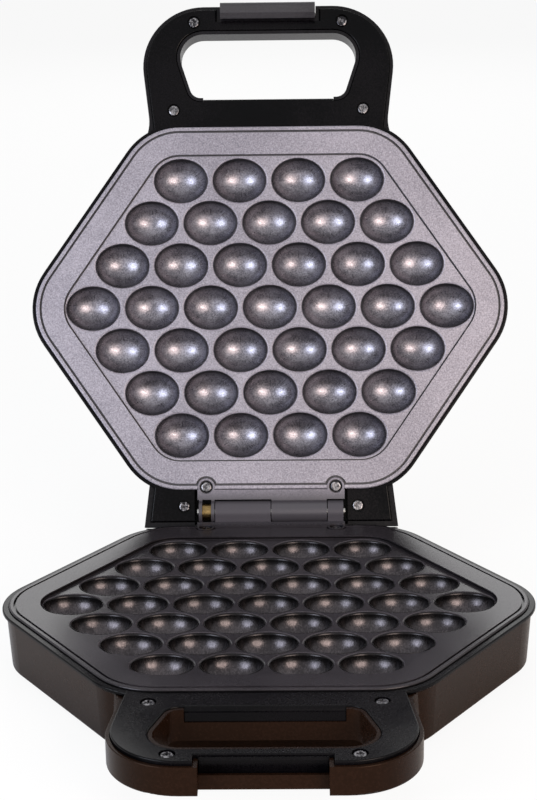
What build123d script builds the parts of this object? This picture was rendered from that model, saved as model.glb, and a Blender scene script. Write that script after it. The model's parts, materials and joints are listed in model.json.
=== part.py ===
from build123d import *

import os
from math import atan2, cos, hypot, radians, sin, tan

# Bubble waffle maker, standing open as it is used to take a waffle out.
# All sizes are millimetres.  X is the width, Y runs from the handle (-Y) to the hinge (+Y), Z is up.
# Z is zero on the table.  Each half is first drawn with its plate's rim at Z = 0 and its body below it,
# and with the plate's centre at X = Y = 0.  The base is then lifted to its height, and the lid is
# turned over onto it and swung open about the hinge.

# Placing
plate_centre_y = -27.5       # the plates' centre, in front of the middle of the open appliance
rim_height = 31.4            # lower plate's rim above the table
plate_gap = 0.6              # between the two rims when the lid is shut
lid_angle = 112.0            # how far the lid stands open

# Cooking plates
cells_per_side = 4           # cells along each side of the hexagon
cell_pitch = 29.0            # along a row
row_pitch = 21.0             # between rows
cell_length = 26.5
cell_width = 22.0            # also twice the cell's depth
cell_edge = 0.7              # bevel around each cell
front_land = 26.6            # outer row's centres to the plate's front and rear edges
side_land = 28.5             # outer cells' centres to the slanted edges
corner_radius = 30.0
rim_band = 13.8              # flat band between the plate's edge and the sunk cooking field
field_depth = 1.5
groove_inset = 1.9
groove_width = 1.1
groove_depth = 1.2
channel_width = 0.7          # along the inside of the sunk field's border
channel_depth = 0.6
rim_thickness = 2.4
rim_round = 0.7
band_thickness = 5.0
cell_floor = 2.0             # metal left under a cell
lug_width = 12.0
lug_spacing = 60.0
lug_reach = 4.2
lug_thickness = 1.1

# Black frames
frame_top = 1.0              # frame's face below the plate's rim
frame_overhang = 1.8         # frame's lip outside the plate's edge, on the lid
base_growth = 1.2            # how much further out the base's frame and shell lie than the lid's
frame_thickness = 2.6
frame_bevel = 1.3
frame_web = 7.0              # how far the frame reaches in under the plate
frame_edge = 0.6             # rounding of the frame's edges
plate_fit = 0.35             # slack around the plate

# Shells
shell_wall = 2.5
shell_floor = 2.4
shell_draft = 1.5            # how far the sides lean in
base_drop = 28.6             # base's bottom below the rim
base_round = 1.5
lid_drop = 26.0              # lid's top above its rim
lid_round = 8.0

# Handles
handle_length = 60.9         # beyond the plate's front edge
handle_root = 58.6           # half width at the plate's front edge
handle_flare = 0.12          # gain in half width for each millimetre forward
handle_corner = 30.0
handle_tuck = 12.0           # how far the handle reaches in under the plate's edge
handle_junction = 20.0       # inward rounding where the handle leaves the hexagon
handle_drop = 15.2           # handle's outer face below the rim
handle_round = 1.2
handle_wall = 1.6
handle_rim = 2.8             # shell's edge around the handle, below the plate's rim
handle_rim_round = 0.4
grip_width = 14.2
seam = 0.3                   # gap between a frame and the shell around it

# Hand hole, inside the shell's collar
hole_start = 14.8            # plate's front edge to the hole
hole_root = 37.4             # half width at the hole's rear edge
hole_flare = 0.33            # gain in half width for each millimetre forward
hole_rear_corner = 5.4
hole_front_corner = 11.4
collar_drop = 1.6            # collar's top below the plate's rim
skirt_drop = 7.2             # frame's skirt over the hole's rear wall, below the rim
skirt_set_back = 0.6
skirt_round = 2.2

# Latch and its notch
lid_notch_width = 47.5
base_notch_width = 50.0
notch_set_back = 6.0         # shell's face in the notch, behind the handle's front
notch_ledge = 9.1            # top of that face, below the rim
catch_set_back = 10.5        # frame's wall in the base's notch, behind the handle's front
catch_wall = 1.6
catch_reach = 3.7
catch_step = 0.9             # catch's top below the frame's face
catch_thickness = 1.4
catch_wall_drop = 11.0
latch_play = 0.35
latch_thickness = 5.6
latch_pivot_drop = 10.9
latch_nose = 2.3
latch_nose_height = 2.8
latch_nose_play = 0.3
latch_nose_tip = 0.5
latch_tip_round = 2.4
latch_pin_diameter = 3.0
latch_pin_fit = 0.05
latch_pin_seat = 4.5         # pin in the handle on each side of the notch
latch_boss = 3.4

# Hinge
hinge_reach = 10.9           # pin's axis behind the plate's rear edge
hinge_rise = 3.0             # pin's axis above the lower plate's rim
barrel_radius = 5.5
barrel_length = 27.0
knuckle_length = 7.6
knuckle_gap = 0.4
hinge_clear = 0.45
pin_radius = 2.0
pin_fit = 0.05
pin_tail = 0.9
ear_thickness = 1.6
bush_radius = 4.1
bush_play = 0.1
tongue_half = 35.9
tongue_root = 4.0            # how far the gap for the tongue reaches in past the frame's web
tongue_seam = 0.15           # gap between a plate and the casting behind it
tongue_boss_x = 31.6
tongue_boss_inset = 1.3
tongue_boss_radius = 4.2
tongue_boss_depth = 6.0
tongue_cut_half = 37.4       # half width of the gap in the frames and in the lid's tail
lid_clear = 0.8              # lid's shell around the barrels

# Lid's tail and the base's heel
tail_root = 59.8
tail_flare = 0.12
tail_length = 18.4
tail_round = 3.0
tail_screw_x = 42.4
tail_screw_inset = 8.2
stop_gap = 0.4               # lid's end face and the heel, with the lid open
heel_length = 28.4           # beyond the plate's rear edge
heel_step = 0.3              # heel's flat top below the shell's edge
heel_round = 6.0
wire_way_width = 40.0
wire_way_height = 8.0

# Screws
screw_radius = 1.5
screw_head_radius = 2.7
screw_head_height = 1.3
screw_length = 9.0
screw_recess = 1.5
screw_recess_radius = 3.3
screw_slack = 0.2
screw_slot_width = 0.9
screw_slot_length = 3.2
screw_slot_depth = 0.7
pilot_depth = 9.5
boss_radius = 3.6
plate_screw_length = 10.0
root_screw_x = 46.8
root_screw_reach = 8.6       # in front of the plate's edge
grip_screw_x = 36.7
grip_screw_inset = 8.2       # behind the handle's front

# Heating and wiring
heater_radius = 3.25
heater_seat = 0.3
heater_gap = 30.0            # between the heater's two ends
heater_bead_radius = 2.6
heater_bead_length = 5.0
heater_pin_radius = 1.2
heater_pin_length = 6.0
shield_thickness = 0.6
shield_clear = 0.3
shield_border = 0.6          # border's edge beyond the heater
shield_screw_length = 5.0
shield_screw_head = 1.2
thermostat_radius = 7.5
thermostat_height = 5.0
thermostat_ear_length = 32.0
thermostat_ear_width = 8.0
thermostat_ear_thickness = 0.8
fuse_radius = 2.2
fuse_length = 14.0
fuse_x = 26.0
fuse_lead_radius = 0.6
fuse_lead_length = 8.0
terminal_length = 30.0
terminal_width = 12.0
terminal_height = 8.0
terminal_rear_gap = 5.0
terminal_hole = 2.0
gland_height = 7.1           # gland's axis above the base's bottom
gland_bore = 2.9
gland_neck = 3.8
gland_flange = 5.4
gland_flange_length = 2.4
gland_lip = 1.2

# Feet
foot_radius = 7.0
foot_plug_radius = 3.0
foot_plug_fit = 0.1
foot_edge = 0.8
front_foot_x = 48.0
front_foot_inset = 14.0      # foot's centre inside the plate's front edge
rear_foot_x = 44.0
rear_foot_inset = 12.0       # foot's centre inside the heel's end

# Lamps on the lid
lamp_radius = 3.0
lamp_flange = 4.4
lamp_flange_height = 1.5
lamp_body = 4.0
lamp_rise = 0.8
lamp_spacing = 16.0
lamp_inset = 20.0            # lamps inside the plate's front edge
lamp_fit = 0.15

# Sizes that follow
steps = cells_per_side - 1
side_angle = atan2(steps * row_pitch, steps * cell_pitch / 2)
half_depth = steps * row_pitch + front_land
side_reach = steps * cell_pitch * sin(side_angle) + side_land
frame_bottom = frame_top + frame_thickness
heater_inset = rim_band - heater_seat - heater_radius
heater_drop = band_thickness + heater_radius
slab_bottom = field_depth + cell_width / 2 + cell_floor
handle_front = -(half_depth + handle_length)
hole_rear = -(half_depth + hole_start)
skirt_half = hole_root - hole_rear_corner
skirt_face = hole_rear + skirt_set_back
lid_notch_half = lid_notch_width / 2
base_notch_half = base_notch_width / 2
hinge_y = half_depth + hinge_reach
tongue_end = hinge_y - barrel_radius - hinge_clear
tail_end = half_depth + tail_length
heel_end = half_depth + heel_length
flare_length = hypot(1, handle_flare)


def hexagon(offset):
    """The plate's outline, moved out by an offset, or in if it is negative."""
    depth = half_depth + offset
    corner = (side_reach + offset) / sin(side_angle)
    front = corner - depth / tan(side_angle)
    points = [(front, -depth), (corner, 0), (front, depth), (-front, depth), (-corner, 0), (-front, -depth)]
    outline = Polygon(*points, align=None)
    return fillet(outline.vertices(), corner_radius + offset)


def prism(outline, low, high):
    """An outline made solid between two heights."""
    return extrude(Pos(0, 0, low) * outline, high - low, dir=(0, 0, 1))


def slanted(low_outline, low, high_outline, high):
    """A straight-sided solid between two outlines."""
    return loft([Pos(0, 0, low) * low_outline, Pos(0, 0, high) * high_outline], ruled=True)


def block(x_low, x_high, y_low, y_high, z_low, z_high):
    """A box between limits."""
    centre = Pos((x_low + x_high) / 2, (y_low + y_high) / 2, (z_low + z_high) / 2)
    return centre * Box(x_high - x_low, y_high - y_low, z_high - z_low)


def post(x, y, radius, low, high):
    """An upright cylinder between two heights."""
    return Pos(x, y, (low + high) / 2) * Cylinder(radius, high - low)


def side_profile(points, x_low, x_high):
    """A profile of (y, z) points made solid along X."""
    profile = Plane.YZ * Polygon(*points, align=None)
    return Pos(x_low, 0, 0) * extrude(profile, x_high - x_low, dir=(1, 0, 0))


def rod(x_low, x_high, y, z, radius):
    """A cylinder along X."""
    return Pos((x_low + x_high) / 2, y, z) * Rot(0, 90, 0) * Cylinder(radius, x_high - x_low)


def front_corners(outline):
    """The two corners of a symmetrical outline that lie furthest forward."""
    return outline.vertices().sort_by(Axis.Y)[:2]


def handle_outline(inset):
    """The handle's outline, from under the plate's edge to its rounded front."""
    start = -half_depth + handle_tuck
    end = handle_front + inset
    slope = inset * flare_length
    start_half = handle_root + handle_flare * (-half_depth - start) - slope
    end_half = handle_root + handle_flare * (-half_depth - end) - slope
    points = [(-start_half, start), (-end_half, end), (end_half, end), (start_half, start)]
    outline = Polygon(*points, align=None)
    return fillet(front_corners(outline), handle_corner - inset)


def hole_outline(growth):
    """The hand hole's outline, widened by a growth."""
    rear = hole_rear + growth
    front = handle_front + grip_width - growth
    slope = growth * hypot(1, hole_flare)
    rear_half = hole_root + hole_flare * (hole_rear - rear) + slope
    front_half = hole_root + hole_flare * (hole_rear - front) + slope
    points = [(-rear_half, rear), (-front_half, front), (front_half, front), (rear_half, rear)]
    outline = Polygon(*points, align=None)
    outline = fillet(front_corners(outline), hole_front_corner + growth)
    rear_corners = outline.vertices().sort_by(Axis.Y)[-2:]
    return fillet(rear_corners, hole_rear_corner + growth)


def tail_outline(inset, end):
    """The outline behind the plate, from under its edge to a rear end."""
    start = half_depth - shell_wall
    slope = inset * hypot(1, tail_flare)
    start_half = tail_root + tail_flare * (start - half_depth) - slope
    end_half = tail_root + tail_flare * (end - inset - half_depth) - slope
    points = [(-start_half, start), (start_half, start), (end_half, end - inset), (-end_half, end - inset)]
    return Polygon(*points, align=None)


def cell_centres():
    """Centres of the cells, row by row."""
    centres = []
    for row in range(-steps, steps + 1):
        count = 2 * steps + 1 - abs(row)
        for place in range(count):
            centres.append(((place - (count - 1) / 2) * cell_pitch, row * row_pitch))
    return centres


def mirrored(x, y):
    """A place and its twin on the other side."""
    return [(-x, y), (x, y)]


handle_screw_places = (
    mirrored(root_screw_x, -(half_depth + root_screw_reach))
    + mirrored(grip_screw_x, handle_front + grip_screw_inset)
)
tail_screw_places = mirrored(tail_screw_x, half_depth + tail_screw_inset)
tongue_boss_places = mirrored(tongue_boss_x, half_depth - tongue_boss_inset)
shield_screw_places = [
    (side * steps * cell_pitch / 2, end * row_pitch / 3) for side in (-1, 1) for end in (-1, 1)
]
foot_places = (
    mirrored(front_foot_x, -(half_depth - front_foot_inset))
    + mirrored(rear_foot_x, heel_end - rear_foot_inset)
)
lamp_places = mirrored(lamp_spacing / 2, -(half_depth - lamp_inset))


def cell_cutter():
    """One cell: half an egg of turning, with a bevel at its mouth."""
    half_width = cell_width / 2
    half_length = cell_length / 2
    egg = revolve(Ellipse(half_length, half_width) & Pos(0, half_width) * Rectangle(cell_length * 2, cell_width), Axis.X)
    mouth_rise = half_width + cell_edge
    bevel_width = mouth_rise / cos(radians(45))
    bevel_length = (half_length + cell_edge) / cos(radians(45))
    dome = Ellipse(bevel_length, bevel_width) & Pos(0, bevel_width) * Rectangle(bevel_length * 4, bevel_width * 2)
    bevel = Pos(0, 0, mouth_rise) * revolve(dome, Axis.X)
    mouth = block(-cell_length, cell_length, -cell_width, cell_width, -cell_width, cell_edge / 4)
    return (egg + bevel) & mouth


def plate_body():
    """The cast cooking plate with its field and cells, without its hinge."""
    rim = prism(hexagon(0), -rim_thickness, 0)
    rim = fillet(rim.edges().group_by(Axis.Z)[-1], rim_round)
    band = prism(hexagon(-frame_web - plate_fit), -band_thickness, -rim_thickness)
    slab = prism(hexagon(-rim_band), -slab_bottom, -band_thickness)
    plate = rim + band + slab
    for side in (-1, 1):
        x = side * lug_spacing / 2
        lug_front = -(half_depth - frame_web) - lug_reach + plate_fit
        lug_rear = -(half_depth - frame_web - plate_fit - shell_wall)
        plate += block(x - lug_width / 2, x + lug_width / 2, lug_front, lug_rear,
                       -band_thickness, -band_thickness + lug_thickness)
    plate -= prism(hexagon(-rim_band), -field_depth, 0)
    channel = hexagon(-rim_band) - hexagon(-rim_band - channel_width)
    plate -= prism(channel, -field_depth - channel_depth, -field_depth)
    cutter = cell_cutter()
    plate -= [Pos(x, y, -field_depth) * cutter for x, y in cell_centres()]
    for x, y in shield_screw_places:
        plate -= post(x, y, screw_radius, -slab_bottom, -slab_bottom + shield_screw_length + screw_slack)
    return plate


def groove():
    """The groove around a plate's band, with a loop around each of the tongue's bosses."""
    line = half_depth - groove_inset
    path = prism(hexagon(-groove_inset) - hexagon(-groove_inset - groove_width), -groove_depth, 0)
    for x, y in tongue_boss_places:
        loop = post(x, y, tongue_boss_radius + groove_width, -groove_depth, 0)
        reach = tongue_boss_radius + groove_width
        path += loop & block(x - reach, x + reach, y - reach, line, -groove_depth, 0)
    return path


def knuckle(axis_drop, x_low, x_high, radius):
    """A hinge knuckle with the arm that joins it to the tongue."""
    arm_root = half_depth + shell_wall / 2
    face = hinge_y - barrel_radius
    if axis_drop < 0:
        points = [(arm_root, -rim_thickness), (hinge_y, -rim_thickness), (hinge_y, -axis_drop),
                  (face, -axis_drop), (face, 0), (arm_root, 0)]
    else:
        points = [(arm_root, -rim_thickness), (hinge_y - radius / 2, -axis_drop - radius * 0.8),
                  (hinge_y, -axis_drop), (face, 0), (arm_root, 0)]
    return side_profile(points, x_low, x_high) + rod(x_low, x_high, hinge_y, -axis_drop, radius)


def cooking_plate():
    """A cooking plate, with notches for the bosses of the hinge casting behind it."""
    plate = plate_body() - groove()
    for x, y in tongue_boss_places:
        plate -= post(x, y, tongue_boss_radius + tongue_seam, -tongue_boss_depth, 0)
    return plate


def hinge_casting(axis_drop, side):
    """The casting behind a plate: the tongue with its bosses, and its share of the hinge's knuckles.

    side is -1 if the long barrel lies on the left, and 1 if it lies on the right.
    """
    casting = block(-tongue_half, tongue_half, half_depth + tongue_seam, tongue_end, -rim_thickness, 0)
    barrel_low = knuckle_gap / 2
    barrel_high = barrel_low + barrel_length
    end_low = barrel_high + knuckle_gap
    end_high = end_low + knuckle_length
    spans = [(side * barrel_low, side * barrel_high)]
    if side > 0:
        spans += [(-end_low, -end_low - ear_thickness), (-end_high + ear_thickness, -end_high)]
    else:
        spans += [(end_low, end_high)]
    for first, last in spans:
        casting += knuckle(axis_drop, min(first, last), max(first, last), barrel_radius)
    for x, y in tongue_boss_places:
        casting += post(x, y, tongue_boss_radius, -tongue_boss_depth, 0)
    casting -= rod(-tongue_half * 2, tongue_half * 2, hinge_y, -axis_drop, pin_radius + pin_fit)
    for x, y in tongue_boss_places:
        casting -= post(x, y, screw_radius + screw_slack, -tongue_boss_depth, 0)
        casting -= post(x, y, screw_recess_radius, -screw_recess - screw_head_height / 2, 0)
    return casting


def heater():
    """The tubular heater: a loop under the plate's band, open at the rear."""
    path = hexagon(-heater_inset).face().outer_wire()
    start = path @ 0
    section = Plane(origin=start, z_dir=path % 0) * Circle(heater_radius)
    loop = Pos(0, 0, -heater_drop) * sweep(section, path=path)
    rear = half_depth - heater_inset
    loop -= block(-heater_gap / 2, heater_gap / 2, rear - heater_radius * 2, rear + heater_radius * 2,
                  -heater_drop - heater_radius * 2, -heater_drop + heater_radius * 2)
    for side in (-1, 1):
        end = side * heater_gap / 2
        bead = end - side * heater_bead_length
        tip = bead - side * heater_pin_length
        loop += rod(min(end, bead), max(end, bead), rear, -heater_drop, heater_bead_radius)
        loop += rod(min(bead, tip), max(bead, tip), rear, -heater_drop, heater_pin_radius)
    return loop


def heat_shield(thermostat_hole):
    """The pressed sheet under a plate: a pan with a raised border that holds the heater up."""
    pan_top = -slab_bottom - shield_clear
    border_top = -heater_drop - heater_radius - shield_clear
    wall_out = -rim_band + shield_clear + shield_thickness
    border_out = -heater_inset + heater_radius + shield_border
    pan = prism(hexagon(wall_out), pan_top - shield_thickness, pan_top)
    wall = prism(hexagon(wall_out) - hexagon(wall_out - shield_thickness), pan_top, border_top)
    border = prism(hexagon(border_out) - hexagon(wall_out - shield_thickness),
                   border_top - shield_thickness, border_top)
    shield = pan + wall + border
    if thermostat_hole:
        shield -= post(0, 0, thermostat_radius + shield_clear, pan_top - shield_thickness, pan_top)
    for x, y in shield_screw_places:
        shield -= post(x, y, screw_radius + screw_slack, pan_top - shield_thickness, pan_top)
    return shield


def screw(length, head_radius, head_height):
    """A cross-head screw, head up, with the underside of its head at the origin."""
    head = post(0, 0, head_radius, 0, head_height)
    head = fillet(head.edges().group_by(Axis.Z)[-1], head_height * 0.6)
    slot_low = head_height - screw_slot_depth
    cross = block(-screw_slot_length / 2, screw_slot_length / 2, -screw_slot_width / 2, screw_slot_width / 2,
                  slot_low, head_height)
    cross += Rot(0, 0, 90) * cross
    return head + post(0, 0, screw_radius, -length, 0) - cross


def frame(is_base):
    """The black frame around a plate, with the cover of its handle and, on the lid, of its tail."""
    notch_half = base_notch_half if is_base else lid_notch_half
    overhang = frame_overhang + base_growth if is_base else frame_overhang
    ring = prism(hexagon(overhang), -frame_bottom, -frame_top)
    ring = chamfer(ring.edges().group_by(Axis.Z)[0], frame_bevel)
    cover_inset = handle_wall + seam
    cover = prism(handle_outline(cover_inset), -frame_bottom, -frame_top)
    notch_side = notch_half + cover_inset
    notch_rear = handle_front + notch_set_back + cover_inset
    cover -= block(-notch_side, notch_side, handle_front - 1, notch_rear, -frame_bottom, 0)
    body = ring + cover
    if not is_base:
        body += prism(tail_outline(shell_wall + seam, tail_end), -frame_bottom, -frame_top)
    body = fillet(body.edges().group_by(Axis.Z)[-1], frame_edge)
    body -= prism(hexagon(plate_fit), -rim_thickness, 0)
    body -= prism(hexagon(-frame_web), -frame_bottom, 0)
    body -= prism(hole_outline(cover_inset), -frame_bottom, 0)
    mouth = [edge for edge in body.edges().group_by(Axis.Z)[-1] if inside_hole_edge(edge)]
    body = fillet(mouth, frame_edge)
    body += skirt()
    body -= skirt_rounding()
    body -= block(-tongue_cut_half, tongue_cut_half, half_depth - frame_web - tongue_root, tail_end,
                  -frame_bottom, 0)
    if is_base:
        wall_front = handle_front + catch_set_back
        inner = notch_half - seam
        body += block(-inner, inner, wall_front, wall_front + catch_wall, -catch_wall_drop, -frame_bottom)
        catch_top = -frame_top - catch_step
        body += block(-inner, inner, wall_front - catch_reach, wall_front + catch_wall,
                      catch_top - catch_thickness, catch_top)
    places = handle_screw_places if is_base else handle_screw_places + tail_screw_places
    for x, y in places:
        body -= post(x, y, screw_recess_radius, -frame_top - screw_recess, 0)
        body -= post(x, y, screw_radius + screw_slack, -frame_bottom, 0)
    return body


def skirt():
    """The frame's skirt, which hangs down over the top of the hand hole's rear wall."""
    return block(-skirt_half, skirt_half, skirt_face, skirt_face + handle_wall, -skirt_drop, -frame_top)


def skirt_rounding():
    """What is cut from the frame to round the edge over its skirt."""
    centre_y = skirt_face + skirt_round
    centre_z = -frame_top - skirt_round
    corner = block(-skirt_half, skirt_half, skirt_face, centre_y, centre_z, 0)
    return corner - rod(-skirt_half, skirt_half, centre_y, centre_z, skirt_round)


def inside_hole_edge(edge):
    """Whether an edge of the cover lies on the mouth of the hand hole."""
    centre = edge.center()
    reach = handle_wall + seam * 2
    front = handle_front + grip_width
    widest = hole_root + hole_flare * (hole_rear - front) + reach
    return front - reach < centre.Y < hole_rear + reach and abs(centre.X) < widest


def grip_outline(growth):
    """The handle's outline joined to the hexagon's, rounded inward where they meet."""
    outline = handle_outline(0) + hexagon(growth - shell_draft)
    meeting = [
        outline.vertices().sort_by_distance((side * handle_root, -half_depth, 0))[0] for side in (-1, 1)
    ]
    return fillet(meeting, handle_junction)


def shell_body(drop, rounding, growth):
    """The outside of a shell, solid: the hexagon and the handle."""
    tub = slanted(hexagon(growth - shell_draft), -drop, hexagon(growth), -frame_bottom)
    tub = fillet(tub.edges().group_by(Axis.Z)[0], rounding)
    grip = prism(grip_outline(growth), -handle_drop, -handle_rim)
    grip = fillet(grip.edges().group_by(Axis.Z)[0], handle_round)
    grip = fillet(grip.edges().group_by(Axis.Z)[-1], handle_rim_round)
    return tub + grip


def hollow(body, drop, is_base):
    """A shell's solid outside, made hollow, with its hand hole, notch and screw posts."""
    floor = -drop + shell_floor
    growth = base_growth if is_base else 0
    notch_half = base_notch_half if is_base else lid_notch_half
    body -= slanted(hexagon(growth - shell_draft - shell_wall), floor, hexagon(growth - shell_wall), -frame_bottom)
    notch_front = handle_front + notch_set_back
    side = notch_half + handle_wall
    channel = handle_outline(handle_wall) - hole_outline(handle_wall)
    channel -= hexagon(growth)
    channel -= Pos(0, notch_front + handle_wall - grip_width) * Rectangle(side * 2, grip_width * 2)
    body -= prism(channel, -handle_drop + handle_wall, 0)
    body += prism(hole_outline(handle_wall), -handle_drop, -collar_drop)
    body -= prism(hole_outline(0), -handle_drop, 0)
    skirt_slot = skirt_half + seam
    body -= block(-skirt_slot, skirt_slot, hole_rear - seam, skirt_face + handle_wall + seam, -skirt_drop, 0)
    body -= block(-notch_half, notch_half, handle_front - 1, notch_front, -handle_drop, 0)
    if is_base:
        body -= block(-notch_half, notch_half, handle_front - 1, handle_front + catch_set_back,
                      -notch_ledge, 0)
    body -= prism(hexagon(growth + frame_overhang + seam), -frame_bottom, 0)
    for x, y in handle_screw_places:
        body += post(x, y, boss_radius, -handle_drop + handle_wall / 2, -frame_bottom)
        body -= post(x, y, screw_radius, -frame_bottom - pilot_depth, 0)
    return body


def plate_posts(body, drop):
    """Adds the posts that take the screws of the plate's tongue."""
    for x, y in tongue_boss_places:
        body += post(x, y, tongue_boss_radius + seam, -drop + shell_floor / 2, -tongue_boss_depth)
        body -= post(x, y, tongue_boss_radius + seam, -tongue_boss_depth, 0)
        body -= post(x, y, screw_radius, -tongue_boss_depth - pilot_depth, -tongue_boss_depth)
    return body


def heel_height(y, gap):
    """Height of a plane under the open lid's end face, a gap away from it."""
    turn = radians(lid_angle)
    return hinge_rise - (tail_length - hinge_reach + gap + (y - hinge_y) * -cos(turn)) / sin(turn)


def heel_profile(inset, start, end, low):
    """Side view of the heel: flat, then sloping down under the lid's end face."""
    top = -frame_bottom - heel_step - inset
    gap = stop_gap + inset
    level = hinge_y + ((hinge_rise - top) * sin(radians(lid_angle)) - (tail_length - hinge_reach + gap)) \
        / -cos(radians(lid_angle))
    return [(start, low), (end, low), (end, heel_height(end, gap)), (level, top), (start, top)]


def base_shell():
    """The brown lower housing: tub, handle and heel in one moulding."""
    body = shell_body(base_drop, base_round, base_growth)
    outline = tail_outline(0, heel_end)
    heel = prism(fillet(outline.vertices().sort_by(Axis.Y)[-2:], heel_round), -base_drop, 0)
    heel = fillet(heel.edges().group_by(Axis.Z)[0], base_round)
    reach = tail_root * 2
    start = half_depth - shell_wall * 2
    heel &= side_profile(heel_profile(0, start, heel_end, -base_drop), -reach, reach)
    body = body + heel
    body = hollow(body, base_drop, True)
    floor = -base_drop + shell_floor
    room = prism(tail_outline(shell_wall, heel_end), floor, 0)
    room_start = half_depth + base_growth
    room &= side_profile(heel_profile(shell_wall, room_start, heel_end - shell_wall, floor), -reach, reach)
    body -= room
    body -= block(-wire_way_width / 2, wire_way_width / 2, half_depth - shell_wall * 3, half_depth + shell_wall,
                  floor, floor + wire_way_height)
    body = plate_posts(body, base_drop)
    gland = Pos(0, heel_end, -base_drop + gland_height) * Rot(90, 0, 0)
    body -= gland * Cylinder(gland_neck + foot_plug_fit, shell_wall * 3)
    for x, y in foot_places:
        body -= post(x, y, foot_plug_radius + foot_plug_fit, -base_drop, floor)
    return body


def lid_shell():
    """The upper housing, drawn upside down: tub, handle and tail in one moulding."""
    body = shell_body(lid_drop, lid_round, 0)
    tail = prism(tail_outline(0, tail_end), -lid_drop, -handle_rim)
    tail = fillet(tail.edges().group_by(Axis.Z)[0], tail_round)
    body = body + tail
    body = hollow(body, lid_drop, False)
    room = tail_outline(shell_wall, tail_end) - hexagon(0)
    body -= prism(room, -lid_drop + shell_floor, 0)
    body = plate_posts(body, lid_drop)
    axis_drop = hinge_rise - plate_gap
    body -= rod(-tongue_cut_half, tongue_cut_half, hinge_y, -axis_drop, barrel_radius + lid_clear)
    for x, y in tail_screw_places:
        body += post(x, y, boss_radius, -lid_drop + shell_floor / 2, -frame_bottom)
        body -= post(x, y, screw_radius, -frame_bottom - pilot_depth, 0)
    pin_y = latch_axis_y()
    for side in (-1, 1):
        inner = side * lid_notch_half
        outer = side * (lid_notch_half + latch_pin_seat + handle_wall / 2)
        low = -handle_drop + handle_wall / 2
        high = -latch_pivot_drop + latch_boss
        body += block(min(inner, outer), max(inner, outer), handle_front + handle_wall / 2,
                      pin_y + latch_boss, low, high)
    seat = lid_notch_half + latch_pin_seat
    body -= rod(-seat, seat, pin_y, -latch_pivot_drop, latch_pin_diameter / 2 + latch_pin_fit)
    for x, y in lamp_places:
        body -= post(x, y, lamp_radius + lamp_fit, -lid_drop, -lid_drop + shell_floor)
    return body


def latch_axis_y():
    """Where the latch's pin lies: in the middle of the latch's thickness."""
    return handle_front + latch_thickness / 2


def latch():
    """The latch: a flap with a round top, and a nose that goes under the base's catch."""
    nose_start = frame_bottom + plate_gap + latch_nose_play
    nose_end = nose_start + latch_nose_height
    half = lid_notch_half - latch_play
    outer = handle_front
    inner = handle_front + latch_thickness
    flap = block(-half, half, outer, inner, -latch_pivot_drop, nose_end)
    tip_edges = flap.edges().filter_by(Axis.X).group_by(Axis.Z)[-1].sort_by(Axis.Y)[0]
    flap = fillet(tip_edges, latch_tip_round)
    nose_points = [(inner - latch_tip_round, nose_start), (inner + latch_nose, nose_start),
                   (inner + latch_nose, nose_start + latch_nose_tip), (inner, nose_end),
                   (inner - latch_tip_round, nose_end)]
    flap += side_profile(nose_points, -half, half)
    flap += rod(-half, half, latch_axis_y(), -latch_pivot_drop, latch_thickness / 2)
    flap -= rod(-half, half, latch_axis_y(), -latch_pivot_drop, latch_pin_diameter / 2 + latch_pin_fit)
    return flap


def latch_pin():
    """The pin that the latch turns on."""
    reach = lid_notch_half + latch_pin_seat - latch_play
    return rod(-reach, reach, latch_axis_y(), -latch_pivot_drop, latch_pin_diameter / 2)


def hinge_pin():
    """The pin through both plates' knuckles."""
    reach = knuckle_gap * 1.5 + barrel_length + knuckle_length + pin_tail
    return rod(-reach, reach, hinge_y, hinge_rise, pin_radius)


def hinge_bush():
    """The brass bush on the pin between the lid's two ears."""
    start = knuckle_gap * 1.5 + barrel_length + ear_thickness + bush_play
    end = knuckle_gap * 1.5 + barrel_length + knuckle_length - ear_thickness - bush_play
    return rod(-end, -start, hinge_y, hinge_rise, bush_radius) - rod(-end, -start, hinge_y, hinge_rise, pin_radius)


def thermostat():
    """The disc thermostat against the lower plate, on its strap."""
    top = -slab_bottom - shield_clear
    strap_top = top - shield_thickness
    strap = block(-thermostat_ear_length / 2, thermostat_ear_length / 2, -thermostat_ear_width / 2,
                  thermostat_ear_width / 2, strap_top - thermostat_ear_thickness, strap_top)
    return strap + post(0, 0, thermostat_radius, top - thermostat_height, top + shield_clear / 2)


def thermal_fuse(side):
    """A thermal fuse under the heat shield, with its two leads."""
    centre = -slab_bottom - shield_clear - shield_thickness - shield_clear - fuse_radius
    middle = side * fuse_x
    body = rod(middle - fuse_length / 2, middle + fuse_length / 2, 0, centre, fuse_radius)
    reach = fuse_length / 2 + fuse_lead_length
    return body + rod(middle - reach, middle + reach, 0, centre, fuse_lead_radius)


def terminal_block():
    """The terminal block on the heel's floor, ahead of the gland."""
    floor = -base_drop + shell_floor
    rear = heel_end - shell_wall - terminal_rear_gap
    body = block(-terminal_length / 2, terminal_length / 2, rear - terminal_width, rear,
                 floor, floor + terminal_height)
    for place in (-1, 0, 1):
        x = place * terminal_length / 3
        hole = Pos(x, rear - terminal_width / 2, floor + terminal_height / 2) * Rot(90, 0, 0)
        body -= hole * Cylinder(terminal_hole, terminal_width)
    return body


def cord_gland():
    """The rubber gland in the heel's rear wall."""
    neck = Cylinder(gland_neck, shell_wall)
    outside = Pos(0, 0, shell_wall / 2 + gland_flange_length / 2) * Cylinder(gland_flange, gland_flange_length)
    outside = fillet(outside.edges().group_by(Axis.Z)[-1], gland_flange_length / 3)
    inside = Pos(0, 0, -shell_wall / 2 - gland_lip / 2) * Cylinder(gland_neck + gland_lip / 2, gland_lip)
    length = shell_wall + 2 * gland_flange_length + 2 * gland_lip
    body = neck + outside + inside - Cylinder(gland_bore, length * 2)
    return Pos(0, heel_end - shell_wall / 2, -base_drop + gland_height) * Rot(-90, 0, 0) * body


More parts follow.
